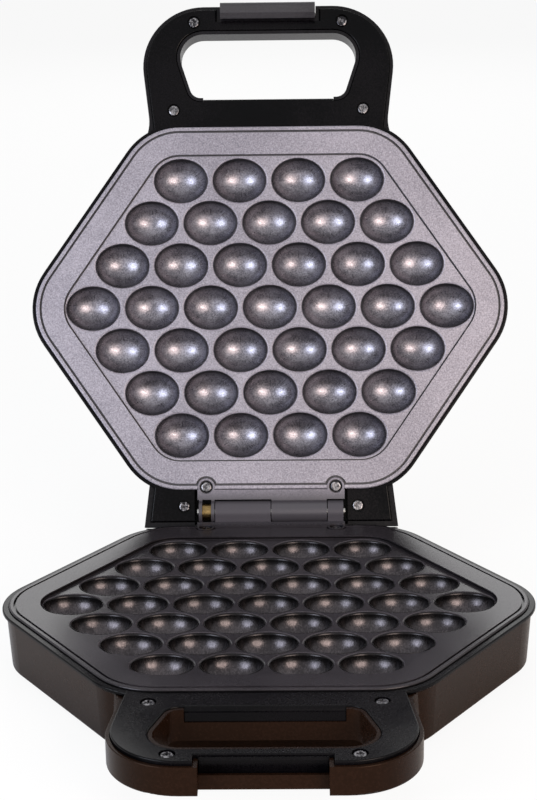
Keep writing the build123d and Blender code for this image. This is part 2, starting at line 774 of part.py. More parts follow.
def foot(x, y):
    """A rubber foot with the plug that holds it in the floor."""
    pad = post(x, y, foot_radius, -rim_height, -base_drop)
    pad = chamfer(pad.edges().group_by(Axis.Z)[0], foot_edge)
    return pad + post(x, y, foot_plug_radius, -base_drop, -base_drop + shell_floor)


def lamp(x, y):
    """A lamp's lens, held by its flange behind the lid's top."""
    inside = -lid_drop + shell_floor
    lens = post(x, y, lamp_radius, -lid_drop - lamp_rise, inside)
    lens = fillet(lens.edges().group_by(Axis.Z)[0], lamp_rise / 2)
    flange = post(x, y, lamp_flange, inside, inside + lamp_flange_height)
    return lens + flange + post(x, y, lamp_radius, inside, inside + lamp_body)


def in_base(solid):
    """Places a lower piece: lifts it to its height above the table."""
    return Pos(0, plate_centre_y, rim_height) * solid


def in_lid(solid):
    """Places an upper piece: turns it over onto the base, then swings it open."""
    turned = Pos(0, 0, plate_gap) * mirror(solid, about=Plane.XY)
    opened = Pos(0, hinge_y, hinge_rise) * Rot(-lid_angle, 0, 0) * Pos(0, -hinge_y, -hinge_rise) * turned
    return in_base(opened)


def frame_screws(places):
    """Screws that hold a frame's cover down."""
    shape = screw(screw_length, screw_head_radius, screw_head_height)
    return [Pos(x, y, -frame_top - screw_recess) * shape for x, y in places]


def tongue_screws():
    """Screws through a plate's tongue."""
    shape = screw(plate_screw_length, screw_head_radius, screw_head_height)
    return [Pos(x, y, -screw_recess - screw_head_height / 2) * shape for x, y in tongue_boss_places]


def shield_screws():
    """Screws that hold a heat shield under its plate."""
    shape = screw(shield_screw_length, screw_head_radius, shield_screw_head)
    under = -slab_bottom - shield_clear - shield_thickness
    return [Pos(x, y, under) * Rot(180, 0, 0) * shape for x, y in shield_screw_places]


def numbered(name, solids):
    """Names for repeated pieces."""
    return {f"{name}_{index}": solid for index, solid in enumerate(solids, 1)}


def base_pieces():
    """Every piece of the lower half, with the hinge's pin."""
    pieces = {
        "base_shell": base_shell(),
        "base_frame": frame(True),
        "lower_plate": cooking_plate(),
        "lower_hinge": hinge_casting(-hinge_rise, -1),
        "lower_heater": heater(),
        "lower_heat_shield": heat_shield(True),
        "thermostat": thermostat(),
        "lower_thermal_fuse": thermal_fuse(1),
        "terminal_block": terminal_block(),
        "cord_gland": cord_gland(),
        "hinge_pin": hinge_pin(),
        "hinge_bush": hinge_bush(),
    }
    pieces.update(numbered("foot", [foot(x, y) for x, y in foot_places]))
    pieces.update(numbered("base_frame_screw", frame_screws(handle_screw_places)))
    pieces.update(numbered("lower_plate_screw", tongue_screws()))
    pieces.update(numbered("lower_shield_screw", shield_screws()))
    return pieces


def lid_pieces():
    """Every piece of the upper half, with its latch."""
    pieces = {
        "lid_shell": lid_shell(),
        "lid_frame": frame(False),
        "upper_plate": cooking_plate(),
        "upper_hinge": hinge_casting(hinge_rise - plate_gap, 1),
        "upper_heater": heater(),
        "upper_heat_shield": heat_shield(False),
        "upper_thermal_fuse": thermal_fuse(-1),
        "latch": latch(),
        "latch_pin": latch_pin(),
        "power_lamp": lamp(*lamp_places[0]),
        "ready_lamp": lamp(*lamp_places[1]),
    }
    pieces.update(numbered("lid_frame_screw", frame_screws(handle_screw_places + tail_screw_places)))
    pieces.update(numbered("upper_plate_screw", tongue_screws()))
    pieces.update(numbered("upper_shield_screw", shield_screws()))
    return pieces


os.makedirs("parts", exist_ok=True)
for name, solid in base_pieces().items():
    export_step(in_base(solid), f"parts/{name}.step")
for name, solid in lid_pieces().items():
    export_step(in_lid(solid), f"parts/{name}.step")
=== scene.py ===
"""Looks for a bubble waffle maker that stands open: finishes, polished bowls, light and camera."""

import json
import logging
from dataclasses import dataclass
from enum import Enum
from math import cos, radians, sin

import bmesh
import bpy
from mathutils import Matrix, Vector


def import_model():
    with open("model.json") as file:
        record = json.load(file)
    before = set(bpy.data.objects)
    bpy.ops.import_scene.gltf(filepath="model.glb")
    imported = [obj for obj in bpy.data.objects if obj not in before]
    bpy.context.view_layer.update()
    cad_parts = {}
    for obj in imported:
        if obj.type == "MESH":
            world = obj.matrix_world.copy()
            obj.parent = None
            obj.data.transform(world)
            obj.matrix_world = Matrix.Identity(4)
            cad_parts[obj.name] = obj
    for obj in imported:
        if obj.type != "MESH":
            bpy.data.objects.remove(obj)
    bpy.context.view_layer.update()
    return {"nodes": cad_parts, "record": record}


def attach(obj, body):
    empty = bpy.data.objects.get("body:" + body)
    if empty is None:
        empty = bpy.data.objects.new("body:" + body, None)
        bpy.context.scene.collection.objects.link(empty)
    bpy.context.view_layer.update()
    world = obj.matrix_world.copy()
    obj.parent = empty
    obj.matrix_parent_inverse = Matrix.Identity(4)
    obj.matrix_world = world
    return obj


LOG = logging.getLogger("waffle_maker")
MM = 0.001
SRGB_TOE_END = 0.04045
SRGB_TOE_SLOPE = 12.92
SRGB_OFFSET = 0.055
SRGB_POWER = 2.4
# A Mix node's sockets have the same names for every kind of data, so they are told apart by their places.
COLOUR_A, COLOUR_B, COLOUR_RESULT = 6, 7, 2
NUMBER_A, NUMBER_B, NUMBER_RESULT = 2, 3, 0
Socket = bpy.types.NodeSocket
NodeTree = bpy.types.NodeTree
Triple = tuple[float, float, float]


def linear(colour: str) -> tuple[float, float, float, float]:
    """Turns an sRGB hex colour to linear.

    Args:
        colour: The colour, as "#rrggbb".

    Returns:
        Red, green, blue, and an alpha of 1.
    """
    values = []
    for step in bytes.fromhex(colour[1:]):
        share = step / 255
        if share <= SRGB_TOE_END:
            values.append(share / SRGB_TOE_SLOPE)
        else:
            values.append(((share + SRGB_OFFSET) / (1 + SRGB_OFFSET)) ** SRGB_POWER)
    return (*values, 1.0)


def bare_tree(owner: bpy.types.Material | bpy.types.World) -> NodeTree:
    """Turns a material's or a world's nodes on and takes them all out.

    Args:
        owner: The material or the world.

    Returns:
        Its empty tree.
    """
    owner.use_nodes = True
    owner.node_tree.nodes.clear()
    return owner.node_tree


def add_node(tree: NodeTree, kind: str, settings: dict[str | int, object],
             links: dict[str | int, Socket] | None = None) -> bpy.types.Node:
    """Adds a node with its settings and links.

    Args:
        tree: The tree that takes the node.
        kind: The node's type.
        settings: Values by input or by property.
        links: Sockets by the input that each feeds.

    Returns:
        The new node.
    """
    node = tree.nodes.new(kind)
    for name, value in settings.items():
        if isinstance(name, str) and hasattr(node, name):
            setattr(node, name, value)
        else:
            node.inputs[name].default_value = value
    for name, socket in (links or {}).items():
        tree.links.new(socket, node.inputs[name])
    return node


def span(start: float, end: float, low: float = 0.0, high: float = 1.0) -> dict[str | int, object]:
    """Gives the limits of a change that runs evenly from one value to another and stays level beyond them.

    Args:
        start: The value at which the change starts.
        end: The value at which it ends.
        low: The result at the start.
        high: The result at the end.

    Returns:
        The four limits, by the input that takes each.
    """
    return {"From Min": start, "From Max": end, "To Min": low, "To Max": high}


@dataclass(frozen=True)
class Placing:
    """Where the two halves stand, as the solids have them."""

    plate_centre_y: float = -27.5 * MM
    rim_height: float = 31.4 * MM
    plate_gap: float = 0.6 * MM
    hinge_y: float = 100.5 * MM
    hinge_rise: float = 3.0 * MM
    lid_angle: float = radians(112.0)

    def pin_axis(self) -> Triple:
        """Gives a point on the axis of the hinge's pin."""
        return 0.0, self.plate_centre_y + self.hinge_y, self.rim_height + self.hinge_rise

    def upper_face_normal(self) -> Triple:
        """Gives the way that the open upper plate faces."""
        return 0.0, -sin(self.lid_angle), -cos(self.lid_angle)

    def upper_axis_height(self) -> float:
        """Gives the pin's height over the face of the upper plate, which is negative."""
        return self.plate_gap - self.hinge_rise

    def base(self) -> Matrix:
        """Lifts a lower piece from the plate's own frame to its height."""
        return Matrix.Translation((0, self.plate_centre_y, self.rim_height))

    def lid(self) -> Matrix:
        """Turns an upper piece over onto the base and swings it open.

        Returns:
            The way from the plate's own frame to its place in the open lid.
        """
        hinge = Vector((0, self.hinge_y, self.hinge_rise))
        over = Matrix.Translation((0, 0, self.plate_gap)) @ Matrix.Rotation(radians(180), 4, "X")
        swing = Matrix.Rotation(-self.lid_angle, 4, "X")
        return self.base() @ Matrix.Translation(hinge) @ swing @ Matrix.Translation(-hinge) @ over


PLACING = Placing()


class Grain(Enum):
    """How a surface's grain runs."""

    EVEN = (1.0, 1.0, 1.0)
    ALONG_X = (0.04, 1.0, 1.0)
    ALONG_Y = (1.0, 0.04, 1.0)


@dataclass(frozen=True)
class Finish:
    """A finish: its colours, its gloss, and the grain that the eye sees in it."""

    name: str
    colour: str
    tint: str
    roughness: float
    grain_mm: float
    relief_mm: float
    metallic: float = 0.0
    ior: float = 1.5
    specular: float = 0.5
    specular_tint: str = "#ffffff"
    coat: float = 0.0
    coat_roughness: float = 0.12
    tint_from: float = 0.35
    tint_to: float = 0.7
    grain_detail: float = 3.0
    cloud_mm: float = 45.0
    cloud_from: float = 0.35
    cloud_to: float = 0.65
    cloud_share: float = 0.25
    cloud_detail: float = 2.0
    detail_share: float = 0.6
    rough_share: float = 0.12
    grain: Grain = Grain.EVEN
    relief_strength: float = 0.5

    def make(self) -> bpy.types.Material:
        """Builds the material: a tint that comes and goes with the fine grain and with large clouds.

        Returns:
            The material.
        """
        material = bpy.data.materials.new(self.name)
        tree = bare_tree(material)
        place = add_node(tree, "ShaderNodeTexCoord", {}).outputs["Object"]
        drawn_out = add_node(tree, "ShaderNodeMapping", {"Scale": self.grain.value}, {"Vector": place})
        noises = []
        for size_mm, detail in ((self.grain_mm, self.grain_detail), (self.cloud_mm, self.cloud_detail)):
            noise = add_node(tree, "ShaderNodeTexNoise",
                             {"Scale": 1 / (size_mm * MM), "Detail": detail, "Roughness": self.detail_share},
                             {"Vector": drawn_out.outputs["Vector"]})
            noises.append(noise.outputs["Fac"])
        fine, cloud = noises
        speckle = add_node(tree, "ShaderNodeMapRange", span(self.tint_from, self.tint_to), {"Value": fine})
        cloudy = add_node(tree, "ShaderNodeMapRange",
                          span(self.cloud_from, self.cloud_to, -self.cloud_share, self.cloud_share),
                          {"Value": cloud})
        share = add_node(tree, "ShaderNodeMath", {"operation": "ADD", "use_clamp": True},
                         {0: speckle.outputs["Result"], 1: cloudy.outputs["Result"]})
        colour, rough = self.surface(tree, place, share.outputs["Value"])
        bump = add_node(tree, "ShaderNodeBump",
                        {"Strength": self.relief_strength, "Distance": self.relief_mm * MM}, {"Height": fine})
        shader = add_node(tree, "ShaderNodeBsdfPrincipled",
                          {"Metallic": self.metallic, "IOR": self.ior, "Specular IOR Level": self.specular,
                           "Specular Tint": linear(self.specular_tint), "Coat Weight": self.coat,
                           "Coat Roughness": self.coat_roughness},
                          {"Base Color": colour, "Roughness": rough, "Normal": bump.outputs["Normal"]})
        add_node(tree, "ShaderNodeOutputMaterial", {}, {"Surface": shader.outputs["BSDF"]})
        return material

    def surface(self, tree: NodeTree, place: Socket, share: Socket) -> tuple[Socket, Socket]:
        """Adds the colour and the roughness.

        Args:
            tree: The material's tree.
            place: Object coordinates, for a finish that changes over the piece; not used here.
            share: How much of the tint shows, from 0 to 1.

        Returns:
            The colour and the roughness.
        """
        colour = add_node(tree, "ShaderNodeMix",
                          {"data_type": "RGBA", COLOUR_A: linear(self.colour), COLOUR_B: linear(self.tint)},
                          {0: share})
        least = self.roughness * (1 - self.rough_share)
        most = self.roughness * (1 + self.rough_share)
        rough = add_node(tree, "ShaderNodeMapRange", span(0.0, 1.0, least, most), {"Value": share})
        return colour.outputs[COLOUR_RESULT], rough.outputs["Result"]


@dataclass(frozen=True)
class PlateFinish(Finish):
    """A plate's sprayed finish, with painted shade on the hinge's barrels and in the grooves, and a painted
    highlight on the bevels around the cells.

    The depths are measured under the plate's face. Facing is 1 where the surface lies level with it. Of each
    pair, the first is where a share is nothing, and the second is where it is full.
    """

    # The barrels' colour is painted shade.
    barrel_shade_colour: str = "#444247"
    barrel_roughness: float = 0.3
    axis: Triple = PLACING.pin_axis()
    barrel_radius: float = 6.0 * MM
    fade: float = 6.0 * MM
    face_normal: Triple = (0.0, 0.0, 1.0)
    axis_height: float = PLACING.hinge_rise
    groove_top: tuple[float, float] = (0.3 * MM, 0.7 * MM)
    groove_foot: tuple[float, float] = (1.43 * MM, 1.3 * MM)
    channel_depth: tuple[float, float] = (1.6 * MM, 1.8 * MM)
    channel_facing: tuple[float, float] = (0.85, 0.95)
    bevel_depth: tuple[float, float] = (1.45 * MM, 1.5 * MM)
    bevel_steep: tuple[float, float] = (0.5, 0.6)
    bevel_level: tuple[float, float] = (0.9, 0.8)
    # How strong the painted shade in the grooves and the painted highlight on the bevels are.
    groove_shade: float = 0.85
    bevel_highlight: float = 0.7

    def where_all(self, tree: NodeTree, *limits: tuple[Socket, tuple[float, float]]) -> Socket:
        """Finds where several values are all past their limits.

        Args:
            tree: The material's tree.
            limits: Values, each with the pair between which its share grows from 0 to 1.

        Returns:
            1 where all are past, 0 where one isn't, and between the two in the fades.
        """
        shares = [add_node(tree, "ShaderNodeMapRange", span(*pair), {"Value": value}).outputs["Result"]
                  for value, pair in limits]
        found = shares[0]
        for share in shares[1:]:
            found = add_node(tree, "ShaderNodeMath", {"operation": "MULTIPLY"},
                             {0: found, 1: share}).outputs["Value"]
        return found

    def painted_shade_and_highlight(self, tree: NodeTree, place: Socket) -> Socket:
        """Finds the grooves, which get painted shade, and the bevels around the cells, which get a painted
        highlight.

        Args:
            tree: The material's tree.
            place: Object coordinates.

        Returns:
            What the colour is multiplied by: less than 1 in the grooves, more on the bevels.
        """
        to_axis = add_node(tree, "ShaderNodeVectorMath", {"operation": "SUBTRACT", 0: self.axis}, {1: place})
        under_axis = add_node(tree, "ShaderNodeVectorMath", {"operation": "DOT_PRODUCT", 1: self.face_normal},
                              {0: to_axis.outputs["Vector"]})
        depth = add_node(tree, "ShaderNodeMath", {"operation": "SUBTRACT", 1: self.axis_height},
                         {0: under_axis.outputs["Value"]}).outputs["Value"]
        normal = add_node(tree, "ShaderNodeTexCoord", {}).outputs["Normal"]
        facing = add_node(tree, "ShaderNodeVectorMath", {"operation": "DOT_PRODUCT", 1: self.face_normal},
                          {0: normal}).outputs["Value"]
        groove = self.where_all(tree, (depth, self.groove_top), (depth, self.groove_foot))
        channel = self.where_all(tree, (depth, self.channel_depth), (facing, self.channel_facing))
        bevel = self.where_all(tree, (depth, self.bevel_depth), (facing, self.bevel_steep),
                               (facing, self.bevel_level))
        # Painted shade: the grooves and the channel are made darker.
        in_shade = add_node(tree, "ShaderNodeMath", {"operation": "MAXIMUM"}, {0: groove, 1: channel})
        shade_factor = add_node(tree, "ShaderNodeMath", {"operation": "MULTIPLY_ADD", 1: -self.groove_shade, 2: 1.0},
                            {0: in_shade.outputs["Value"]})
        # Painted highlight: the bevels around the cells are made lighter.
        return add_node(tree, "ShaderNodeMath", {"operation": "MULTIPLY_ADD", 1: self.bevel_highlight},
                        {0: bevel, 2: shade_factor.outputs["Value"]}).outputs["Value"]

    def surface(self, tree: NodeTree, place: Socket, share: Socket) -> tuple[Socket, Socket]:
        """Adds the coat's colour and roughness, with painted shade and the barrels' own roughness near the
        axis.

        Args:
            tree: The material's tree.
            place: Object coordinates.
            share: How much of the tint shows, from 0 to 1.

        Returns:
            The colour and the roughness.
        """
        colour, rough = Finish.surface(self, tree, place, share)
        across = add_node(tree, "ShaderNodeMapping", {"Scale": (0.0, 1.0, 1.0)}, {"Vector": place})
        apart = add_node(tree, "ShaderNodeVectorMath", {"operation": "DISTANCE", 1: self.axis},
                         {0: across.outputs["Vector"]})
        # Painted shade: near the axis, the barrels take a darker colour.
        coated = add_node(tree, "ShaderNodeMapRange",
                          span(self.barrel_radius, self.barrel_radius + self.fade),
                          {"Value": apart.outputs["Value"]}).outputs["Result"]
        with_painted_light = add_node(tree, "ShaderNodeVectorMath", {"operation": "SCALE"},
                        {0: colour, "Scale": self.painted_shade_and_highlight(tree, place)})
        mixed = add_node(tree, "ShaderNodeMix", {"data_type": "RGBA", COLOUR_A: linear(self.barrel_shade_colour)},
                         {0: coated, COLOUR_B: with_painted_light.outputs["Vector"]})
        smooth = add_node(tree, "ShaderNodeMix", {"data_type": "FLOAT", NUMBER_A: self.barrel_roughness},
                          {0: coated, NUMBER_B: rough})
        return mixed.outputs[COLOUR_RESULT], smooth.outputs[NUMBER_RESULT]


@dataclass(frozen=True)
class BowlFinish(Finish):
    """A bowl's finish, which reads the bowl's own attribute: the way round, and the depth."""

    attribute: str = "bowl_place"
    spoke_count: float = 16.0
    spoke_turns: float = 1.5
    spoke_from: float = 0.3
    spoke_to: float = 0.7
    spoke_share: float = 0.35
    mouth_shade: float = 0.2
    clear_depth: float = 0.7

    def surface(self, tree: NodeTree, place: Socket, share: Socket) -> tuple[Socket, Socket]:
        """Adds a colour that darkens towards the mouth, which is painted shade, and spokes in the gloss.

        Args:
            tree: The material's tree.
            place: Object coordinates, passed on but not used.
            share: How much of the tint shows, from 0 to 1.

        Returns:
            The colour and the roughness.
        """
        own = add_node(tree, "ShaderNodeAttribute", {"attribute_name": self.attribute}).outputs["Vector"]
        depth = add_node(tree, "ShaderNodeSeparateXYZ", {}, {"Vector": own}).outputs["Z"]
        spread = (self.spoke_count, self.spoke_count, self.spoke_turns)
        stretched = add_node(tree, "ShaderNodeMapping", {"Scale": spread}, {"Vector": own})
        spokes = add_node(tree, "ShaderNodeTexNoise",
                          {"Scale": 1.0, "Detail": self.grain_detail, "Roughness": self.detail_share},
                          {"Vector": stretched.outputs["Vector"]})
        colour, rough = Finish.surface(self, tree, place, share)
        # Painted shade: the colour darkens towards the bowl's mouth.
        shading = {"interpolation_type": "SMOOTHSTEP", **span(0.0, self.clear_depth, self.mouth_shade)}
        shade = add_node(tree, "ShaderNodeMapRange", shading, {"Value": depth})
        dimmed = add_node(tree, "ShaderNodeVectorMath", {"operation": "SCALE"},
                          {0: colour, "Scale": shade.outputs["Result"]})
        streak = add_node(tree, "ShaderNodeMapRange",
                          span(self.spoke_from, self.spoke_to, 1 - self.spoke_share, 1 + self.spoke_share),
                          {"Value": spokes.outputs["Fac"]})
        streaked = add_node(tree, "ShaderNodeMath", {"operation": "MULTIPLY", "use_clamp": True},
                            {0: rough, 1: streak.outputs["Result"]})
        return dimmed.outputs["Vector"], streaked.outputs["Value"]


# Injection-moulded ABS in a spark-eroded mould: dark chocolate with a soft gloss and a faint orange peel.
BROWN_ABS = Finish("moulded_brown_abs", "#140a05", "#1b0f09", roughness=0.26, grain_mm=1.2, relief_mm=0.012,
                   ior=1.53, specular=0.08, specular_tint="#ffdcc4")
# The same ABS in the lid: black, with the same soft gloss.
BLACK_ABS = Finish("moulded_black_abs", "#0a090b", "#131215", roughness=0.24, grain_mm=1.2, relief_mm=0.012,
                   ior=1.53, specular=0.12)
# Glass-filled nylon that stands the plate's heat: near black, satin, with a fine grain and an uneven gloss.
BLACK_NYLON = Finish("moulded_black_nylon", "#030304", "#080709", roughness=0.22, grain_mm=0.9,
                     relief_mm=0.012, ior=1.53, specular=0.07, cloud_share=0.5, rough_share=0.35)
# Sprayed non-stick coat with metal flake on cast aluminium: grey, glittering and slightly rough. The flake is
# finer than the render shows, so it is drawn at 0.7 mm.
FLAKE_COAT = PlateFinish("sprayed_flake_non_stick", "#615f68", "#939099", roughness=0.42, grain_mm=0.7,
                         relief_mm=0.05, metallic=0.35, tint_from=0.3, tint_to=0.72, cloud_share=0.12,
                         relief_strength=0.6, face_normal=PLACING.upper_face_normal(),
                         axis_height=PLACING.upper_axis_height())
# The same coat on the casting behind the upper plate, in darker colours: painted shade, for the shade that
# falls on it under the plate's edge.
SHADED_HINGE_COAT = PlateFinish("shaded_flake_on_hinge", "#4b4951", "#74717a", roughness=0.42, grain_mm=0.7,
                         relief_mm=0.05, metallic=0.35, tint_from=0.3, tint_to=0.72, cloud_share=0.2,
                         relief_strength=0.6, face_normal=PLACING.upper_face_normal(),
                         axis_height=PLACING.upper_axis_height())
# The same coat on the lower plate, made shiny by oil and use; its colours are darker than the upper plate's,
# and that is painted shade.
SHADED_OILED_COAT = PlateFinish("shaded_oiled_flake_non_stick", "#1c1a1d", "#343135", roughness=0.24, grain_mm=0.7,
                         relief_mm=0.03, metallic=0.2, specular=0.2, tint_from=0.3, tint_to=0.72,
                         cloud_share=0.3, relief_strength=0.4)
# The same coat in the bowls, where the spray lies smooth: painted shade darkens it towards the mouth, and it
# is worn in fine spokes.
BOWL_COAT = BowlFinish("smooth_non_stick_bowl", "#5e5c63", "#8b8991", roughness=0.36, grain_mm=0.8,
                       relief_mm=0.02, metallic=0.85, cloud_mm=9.0, cloud_share=0.3)
# The bowls of the lower plate: shinier, and in darker colours, which are painted shade.
SHADED_OILED_BOWL = BowlFinish("shaded_oiled_non_stick_bowl", "#302d30", "#4d494c", roughness=0.26, grain_mm=0.8,
                        relief_mm=0.02, metallic=0.8, cloud_mm=9.0, cloud_share=0.3)
# Moulded nylon of the latch, handled until it is slightly polished. It is drawn dark grey, lighter than its
# nylon's own black: a painted sheen.
LATCH_NYLON = Finish("moulded_nylon_with_painted_sheen", "#252427", "#333235", roughness=0.32, grain_mm=0.8,
                     relief_mm=0.012, specular=0.3)
# Black-oxided steel screws: dark, with the bare metal showing where the driver turned.
SCREW_STEEL = Finish("blackened_screw_steel", "#2c2b2e", "#8a898c", roughness=0.3, grain_mm=1.5,
                     relief_mm=0.01, metallic=1.0, tint_from=0.45, tint_to=0.6)
# Cold-drawn steel wire for the pins: bright, with fine lines along it.
DRAWN_STEEL = Finish("drawn_steel_wire", "#8d8c8b", "#b4b3b1", roughness=0.28, grain_mm=0.6, relief_mm=0.006,
                     metallic=1.0, grain=Grain.ALONG_X)
# Turned brass bush: dull gold, browned in patches by the heat.
TURNED_BRASS = Finish("turned_brass", "#6f5c3c", "#917a50", roughness=0.32, grain_mm=0.5, relief_mm=0.006,
                      metallic=1.0, cloud_mm=4.0)
# Annealed steel tube of the heaters: dull grey-brown, with patches of scale.
HEATER_STEEL = Finish("annealed_heater_tube", "#4f4a45", "#7d766f", roughness=0.45, grain_mm=2.5,
                      relief_mm=0.01, metallic=1.0)
# Rolled steel sheet with an aluminium dip: bright and satin, with the lines of rolling.
SHEET_STEEL = Finish("aluminised_sheet", "#a3a3a2", "#c6c6c4", roughness=0.35, grain_mm=3.0, relief_mm=0.006,
                     metallic=1.0, grain=Grain.ALONG_Y)
# Nickel-plated cap of the thermostat: pale and warm, with a soft shine.
CAP_METAL = Finish("plated_cap", "#a9a69f", "#c4c1ba", roughness=0.33, grain_mm=2.0, relief_mm=0.006,
                   metallic=1.0)
# Drawn can of a thermal fuse: pale, nearly white metal.
FUSE_METAL = Finish("fuse_can", "#c2bfb6", "#d6d4cd", roughness=0.36, grain_mm=2.0, relief_mm=0.006,
                    metallic=0.9)
# Moulded nylon of the terminal block: cream white and matt.
WHITE_NYLON = Finish("white_terminal_nylon", "#c9c7bd", "#dbd9d0", roughness=0.45, grain_mm=2.0,
                     relief_mm=0.01)
# Moulded rubber of the feet and the gland: black and matt, with a dusty grain.
BLACK_RUBBER = Finish("moulded_rubber", "#100f0f", "#1c1b1b", roughness=0.62, grain_mm=0.8, relief_mm=0.03,
                      specular=0.3)
# Moulded acrylic lenses of the two lamps: one red and one green, with a clear gloss.
RED_LENS = Finish("red_acrylic_lens", "#7c120d", "#93201a", roughness=0.14, grain_mm=3.0, relief_mm=0.004,
                  ior=1.49, coat=0.3)
GREEN_LENS = Finish("green_acrylic_lens", "#155f2a", "#1f7436", roughness=0.14, grain_mm=3.0,
                    relief_mm=0.004, ior=1.49, coat=0.3)

FINISH_OF_SLOT = {
    "housing_plastic": BROWN_ABS,
    "lid_housing_plastic": BLACK_ABS,
    "frame_plastic": BLACK_NYLON,
    "coated_plate": FLAKE_COAT,
    "heater_tube": HEATER_STEEL,
    "heat_shield_sheet": SHEET_STEEL,
    "thermostat_metal": CAP_METAL,
    "fuse_sleeve": FUSE_METAL,
    "terminal_plastic": WHITE_NYLON,
    "gland_rubber": BLACK_RUBBER,
    "pin_steel": DRAWN_STEEL,
    "bush_brass": TURNED_BRASS,
    "latch_plastic": LATCH_NYLON,
    "power_lens": RED_LENS,
    "ready_lens": GREEN_LENS,
    "foot_rubber": BLACK_RUBBER,
    "screw_steel": SCREW_STEEL,
}
# These castings share a slot with the upper plate, but take darker colours, which are painted shade.
FINISH_OF_NODE = {"lower_plate": SHADED_OILED_COAT, "lower_hinge": SHADED_OILED_COAT, "upper_hinge": SHADED_HINGE_COAT}


class Workshop:
    """Makes each finish once, and turns bmesh work to pieces."""

    def __init__(self) -> None:
        """Starts with no material made."""
        self.made: dict[str, bpy.types.Material] = {}

    def material(self, finish: Finish) -> bpy.types.Material:
        """Gives a finish's material, made at its first use.

        Args:
            finish: The finish.

        Returns:
            Its material.
        """
        if finish.name not in self.made:
            self.made[finish.name] = finish.make()
        return self.made[finish.name]

    def piece(self, shape: bmesh.types.BMesh, name: str, finish: Finish) -> bpy.types.Object:
        """Turns a bmesh to an object that is shaded smooth.

        Args:
            shape: The finished shape, in metres in the object's frame.
            name: The piece's name.
            finish: What it is made of.

        Returns:
            The new object.
        """
        mesh = bpy.data.meshes.new(name)
        shape.to_mesh(mesh)
        shape.free()
        for polygon in mesh.polygons:
            polygon.use_smooth = True
        mesh.materials.append(self.material(finish))
        made = bpy.data.objects.new(name, mesh)
        bpy.context.scene.collection.objects.link(made)
        return made

    def dress_nodes(self, nodes: dict[str, bpy.types.Object], slots: dict[str, str]) -> None:
        """Gives every solid of the frame its finish.

        Args:
            nodes: The frame's objects by name.
            slots: Each node's material slot.
        """
        for name, node in nodes.items():
            finish = FINISH_OF_NODE.get(name, FINISH_OF_SLOT[slots[name]])
            node.data.materials.clear()
            node.data.materials.append(self.material(finish))
            LOG.info("%s dressed in %s", name, finish.name)


@dataclass
class Bowls:
    """The smooth insides of one plate's cells."""

    shop: Workshop
    cells_per_side: int = 4
    cell_pitch: float = 29.0 * MM
    row_pitch: float = 21.0 * MM
    half_length: float = 13.25 * MM
    half_width: float = 11.0 * MM
    field_depth: float = 1.5 * MM
    lining: float = 0.12 * MM
    wall: float = 0.1 * MM
    rings: int = 20
    around: int = 48

    def centres(self) -> list[tuple[float, float]]:
        """Works out the cells' centres, row by row.

        Returns:
            The centres in the plate's own frame.
        """
        steps = self.cells_per_side - 1
        found = []
        for row in range(-steps, steps + 1):
            count = 2 * steps + 1 - abs(row)
            for place in range(count):
                found.append(((place - (count - 1) / 2) * self.cell_pitch, row * self.row_pitch))
        return found

    def bowl(self, shape: bmesh.types.BMesh, x: float, y: float, layer: bmesh.types.BMLayerItem) -> None:
        """Adds one bowl: the lower half of an egg, open above, with its place written on its vertices.

        Args:
            shape: The bmesh that takes it.
            x: Its centre.
            y: Its centre.
            layer: Takes the way round and the depth of each vertex.
        """
        first = len(shape.verts)
        egg = bmesh.ops.create_uvsphere(shape, u_segments=self.around, v_segments=self.rings, radius=1.0)
        made = egg["verts"]
        bmesh.ops.rotate(shape, verts=made, matrix=Matrix.Rotation(radians(90), 3, "Y"))
        inner_width = self.half_width - self.lining
        bmesh.ops.scale(shape, verts=made, vec=(self.half_length - self.lining, inner_width, inner_width))
        bmesh.ops.translate(shape, verts=made, vec=(x, y, -self.field_depth))
        parts = list({face for vert in made for face in vert.link_faces})
        edges = list({edge for vert in made for edge in vert.link_edges})
        mouth = -self.field_depth - self.lining
        bmesh.ops.bisect_plane(shape, geom=made + edges + parts, plane_co=(0, 0, mouth),
                               plane_no=(0, 0, 1), clear_outer=True)
        # A new bowl reuses places in the list that earlier cuts freed. So this slice misses some of its
        # vertices and takes some of its neighbours', and about a tenth of all vertices keep no place. They
        # stay as dark as the mouth, and look like specks.
        for vert in shape.verts[first:]:
            across = Vector(((vert.co.x - x) / self.half_length, (vert.co.y - y) / self.half_width))
            way = across.normalized() if across.length > 0 else Vector((1.0, 0.0))
            vert[layer] = (way.x, way.y, (mouth - vert.co.z) / self.half_width)

    def build(self, name: str, body: str, place: Matrix, finish: Finish) -> bpy.types.Object:
        """Builds a plate's bowls as one piece.

        Args:
            name: The piece's name.
            body: The body that it rides on.
            place: From the plate's own frame to the object's.
            finish: The bowls' coat.

        Returns:
            The piece.
        """
        shape = bmesh.new()
        layer = shape.verts.layers.float_vector.new(BowlFinish.attribute)
        for x, y in self.centres():
            self.bowl(shape, x, y, layer)
        bmesh.ops.recalc_face_normals(shape, faces=shape.faces)
        bmesh.ops.reverse_faces(shape, faces=shape.faces)
        bmesh.ops.solidify(shape, geom=shape.faces[:] + shape.edges[:] + shape.verts[:], thickness=self.wall)
        bmesh.ops.transform(shape, matrix=place, verts=shape.verts)
        made = self.shop.piece(shape, name, finish)
        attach(made, body)
        LOG.info("%s: %d bowls", name, len(self.centres()))
        return made


